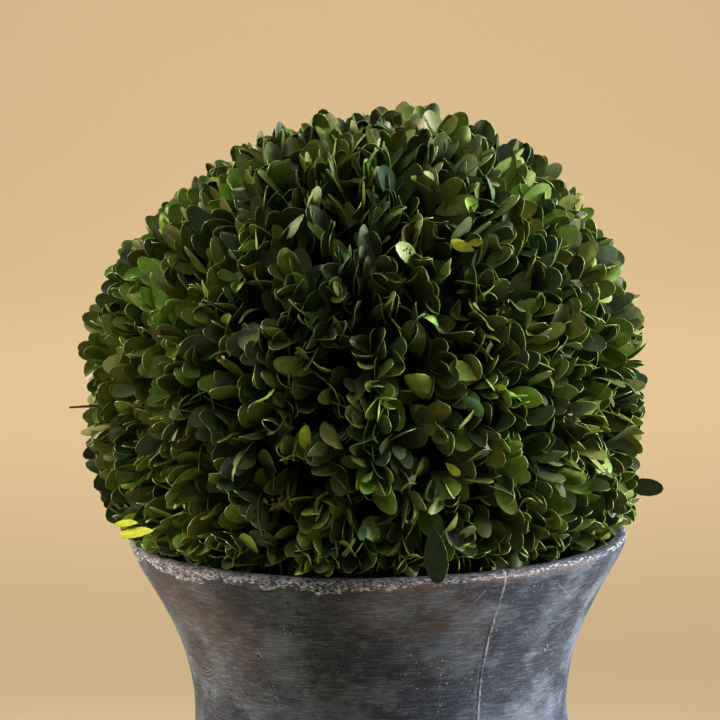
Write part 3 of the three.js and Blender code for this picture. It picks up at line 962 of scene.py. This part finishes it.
# Where the core would show bare between the leaves, a leaf lies across the gap in the shade.
gap_look_count = 4000
lowest_look = -0.5
bare_angle = 4.7 * mm / core_radius
leaf_arms = np.concatenate([leaf_corners(leaf) for leaves in placed.values() for leaf in leaves])
leaf_arms = (leaf_arms - np.array(ball_centre)).astype(np.float32)
leaf_arms /= np.linalg.norm(leaf_arms, axis=1)[:, None]
for i in range(gap_look_count):
    level = 1 - (1 - lowest_look) * (i + 0.5) / gap_look_count
    ring = math.sqrt(1 - level * level)
    out = Vector((ring * math.cos(i * golden_turn), ring * math.sin(i * golden_turn), level))
    if (leaf_arms @ np.array(out, np.float32)).max() > math.cos(bare_angle):
        continue
    lean = math.radians(between(55, 80))
    forward = out * math.cos(lean) + sideways(out, between(0, math.tau)) * math.sin(lean)
    middle = ball_centre + out * between(123, 131) * mm
    face = out + sideways(out, between(0, math.tau)) * 0.3
    tint = pick_tint(out)
    set_leaf(middle - forward * leaf_full * 0.5, forward, face, int(between(0, len(leaf_kinds))), 1, tint)
    arms = leaf_corners(placed[tint][-1]) - np.array(ball_centre)
    arms /= np.linalg.norm(arms, axis=1)[:, None]
    leaf_arms = np.concatenate([leaf_arms, arms.astype(np.float32)])

# A dry twig sticks out on the left and a dark leaf on the right, and another dark leaf hangs over the lip.
stray_twig = Vector((-168, -6, -7)).normalized()
twigs.append((ball_centre + stray_twig * 135 * mm, ball_centre + stray_twig * 168.5 * mm))
stray_leaf = Vector((160, -12, -64)).normalized()
stray_length = 24 * mm
stray_root = ball_centre + stray_leaf * (172 * mm - stray_length)
stray_turn = frame_along(stray_leaf + Vector((0, 0, 0.25)), Vector((0, -1, 0.35)))
placed["deep_green"].append((0, stray_turn * stray_length / leaf_full, stray_root))
lip_root = Vector((28.3 * mm, -137 * mm, 318 * mm))
lip_turn = frame_along(Vector((0.1, -0.04, -1)), Vector((-0.1, -1, -0.2)))
placed["bottle_green"].append((0, lip_turn, lip_root))

# Two yellow leaves low on the left lie over the rest, each told by its root and its tip in mm.
for root, tip in (((-130, -76, 311), (-142, -64, 306.5)), ((-121, -87, 308.5), (-138.5, -72, 301.5))):
    root, tip = Vector(root) * mm, Vector(tip) * mm
    turn = frame_along(tip - root, Vector((0.2, -0.7, 0.8)))
    placed["yellow_green"].append((0, turn * (tip - root).length / leaf_full, root))


def joined(name, groups, materials):
    """One mesh from groups of corners, triangles and parts, each already in its place."""
    starts = np.cumsum([0] + [len(corners) for corners, _, _ in groups])
    corners = np.concatenate([corners for corners, _, _ in groups])
    triangles = np.concatenate([group[1] + start for group, start in zip(groups, starts)])
    mesh = bpy.data.meshes.new(name)
    mesh.vertices.add(len(corners))
    mesh.vertices.foreach_set("co", corners.astype(np.float32).ravel())
    mesh.loops.add(triangles.size)
    mesh.loops.foreach_set("vertex_index", triangles.astype(np.int32).ravel())
    mesh.polygons.add(len(triangles))
    mesh.polygons.foreach_set("loop_start", np.arange(0, triangles.size, 3, dtype=np.int32))
    parts = np.concatenate([parts for _, _, parts in groups])
    mesh.polygons.foreach_set("material_index", parts.astype(np.int32))
    mesh.polygons.foreach_set("use_smooth", [True] * len(triangles))
    for material in materials:
        mesh.materials.append(material)
    mesh.update(calc_edges=True)
    mesh.validate()
    mesh.set_sharp_from_angle(angle=math.radians(50))
    piece = new_object(name, mesh)
    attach(piece, "root")
    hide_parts("foliage_ball")


def leaf_skin(name, code, roughness):
    """Box leaf, waxy above and matt below: one base colour, a little paler in fine mottles 3 mm apart."""
    material, shader = new_material(name, roughness, 1.42)
    shader.inputs["Specular IOR Level"].default_value = 0.31
    place = add(material, "TexCoord")["Object"]
    mottle = add(material, "TexNoise", {"Vector": place, "Scale": 1 / (3 * mm), "Detail": 3})["Fac"]
    limits = {"Value": mottle, "From Min": 0.35, "From Max": 0.75, "To Min": 0.85, "To Max": 1.35}
    strength = add(material, "MapRange", limits)[0]
    base = hex_colour(code)
    colour = add(material, "VectorMath", {0: base[:3], "Scale": strength}, operation="SCALE")[0]
    dress(material, shader, colour, mottle, 0.25, 0.4 * mm)
    return material


# The pale leaf edge is partly the leaves' paler margin and partly a painted highlight.
edge_pale = leaf_skin("leaf_edge_pale", "#6b8638", 0.42)
for name, (upper, back, *_) in {**leaf_tints, **bright_tints}.items():
    groups = [(leaf_corners(leaf), *leaf_kinds[leaf[0]][1:]) for leaf in placed[name]]
    waxy = leaf_skin(f"waxy_leaf_{name}", upper, 0.4)
    matt = leaf_skin(f"leaf_back_{name}", back, 0.62)
    joined(f"leaves_{name}", groups, (waxy, matt, edge_pale))

# Twigs and buds
# Each sprig has a thin green-brown twig that tapers to its tip, and some still carry a pale flower bud.
twig_mesh = bmesh.new()
bmesh.ops.create_cone(twig_mesh, cap_ends=True, segments=5, radius1=1.2 * mm, radius2=0.6 * mm, depth=1)
bmesh.ops.translate(twig_mesh, verts=twig_mesh.verts, vec=(0, 0, 0.5))
bmesh.ops.triangulate(twig_mesh, faces=twig_mesh.faces)
twig_corners, *twig_faces = mesh_parts(twig_mesh)
bud_mesh = bmesh.new()
bmesh.ops.create_icosphere(bud_mesh, subdivisions=2, radius=1.1 * mm)
bmesh.ops.scale(bud_mesh, verts=bud_mesh.verts, vec=(1, 1, 1.5))
bud_corners, *bud_faces = mesh_parts(bud_mesh)


def upright_frame(direction):
    """A matrix whose Z runs along direction."""
    direction = direction.normalized()
    side = direction.orthogonal().normalized()
    return np.array([side, direction.cross(side), direction]).T


twig_groups = []
for root, tip in twigs:
    stretch = np.array([1, 1, (tip - root).length])
    corners = (twig_corners * stretch) @ upright_frame(tip - root).T + np.array(root)
    twig_groups.append((corners, *twig_faces))
joined("sprig_twigs", twig_groups, (leaf_skin("twig_rind", "#4a4a24", 0.7),))
bud_groups = []
for tip, grow in buds:
    corners = bud_corners @ upright_frame(grow).T + np.array(tip + grow * 1.5 * mm)
    bud_groups.append((corners, *bud_faces))
joined("flower_buds", bud_groups, (leaf_skin("bud_scale", "#8f9648", 0.55),))

# Studio
# A pale floor that rises into a backdrop with a lamp of its own, two broad cool lights from the right, a
# soft warm one from behind on the left, and a faint one above.
floor_reach = 12
sweep_start = 3.3
sweep_radius = 1.2
floor_mesh = bmesh.new()
sweep_profile = [(floor_reach, 0), (-sweep_start, 0)]
for degrees in range(10, 100, 10):
    a = math.radians(degrees)
    sweep_profile.append((-sweep_start - sweep_radius * math.sin(a), sweep_radius * (1 - math.cos(a))))
sweep_profile.append((-sweep_start - sweep_radius, 4))
left_edge = [floor_mesh.verts.new((-floor_reach, -y, z)) for y, z in sweep_profile]
sweep_edges = [floor_mesh.edges.new(pair) for pair in zip(left_edge, left_edge[1:])]
swept = bmesh.ops.extrude_edge_only(floor_mesh, edges=sweep_edges)
right_edge = [v for v in swept["geom"] if isinstance(v, bmesh.types.BMVert)]
bmesh.ops.translate(floor_mesh, verts=right_edge, vec=(2 * floor_reach, 0, 0))
backdrop_data = bpy.data.meshes.new("backdrop")
floor_mesh.to_mesh(backdrop_data)
floor_mesh.free()
backdrop_data.polygons.foreach_set("use_smooth", [True] * len(backdrop_data.polygons))
paper, paper_shader = new_material("backdrop_paper", 0.9)
paper_shader.inputs["Base Color"].default_value = hex_colour("#d2bf9c")
backdrop_data.materials.append(paper)
backdrop = new_object("backdrop", backdrop_data)


def soft_light(name, place, aim, size, watts, code, spread=180):
    """A square soft box that faces a point, with its light spread over some degrees."""
    data = bpy.data.lights.new(name, "AREA")
    data.size = size
    data.energy = watts
    data.color = hex_colour(code)[:3]
    data.spread = math.radians(spread)
    light = new_object(name, data)
    light.visible_camera = False
    light.location = place
    light.rotation_euler = (Vector(aim) - Vector(place)).to_track_quat("-Z", "Y").to_euler()


aim = (0, 0, 0.35)
soft_light("right_box", (1.55, 0.3, 0.9), aim, 0.7, 8, "#f8f8fc", 50)
soft_light("window_box", (1.6, -0.2, 0.55), aim, 0.7, 5.5, "#f8f8fc", 50)
soft_light("left_box", (-1.5, 0.4, 0.85), aim, 0.8, 8.6, "#ffeedb", 50)
soft_light("top_box", (0, -0.8, 1.8), aim, 0.7, 0.7, "#ffffff", 50)
soft_light("paper_box", (0, 2.4, 2.8), (0, 2.7, 0), 1.6, 88, "#fff2dd")
world = bpy.data.worlds.new("soft_room")
world.use_nodes = True
world.node_tree.nodes["Background"].inputs["Color"].default_value = hex_colour("#f2f5ff")
world.node_tree.nodes["Background"].inputs["Strength"].default_value = 0.17
bpy.context.scene.world = world
bpy.context.scene.view_settings.view_transform = "Standard"
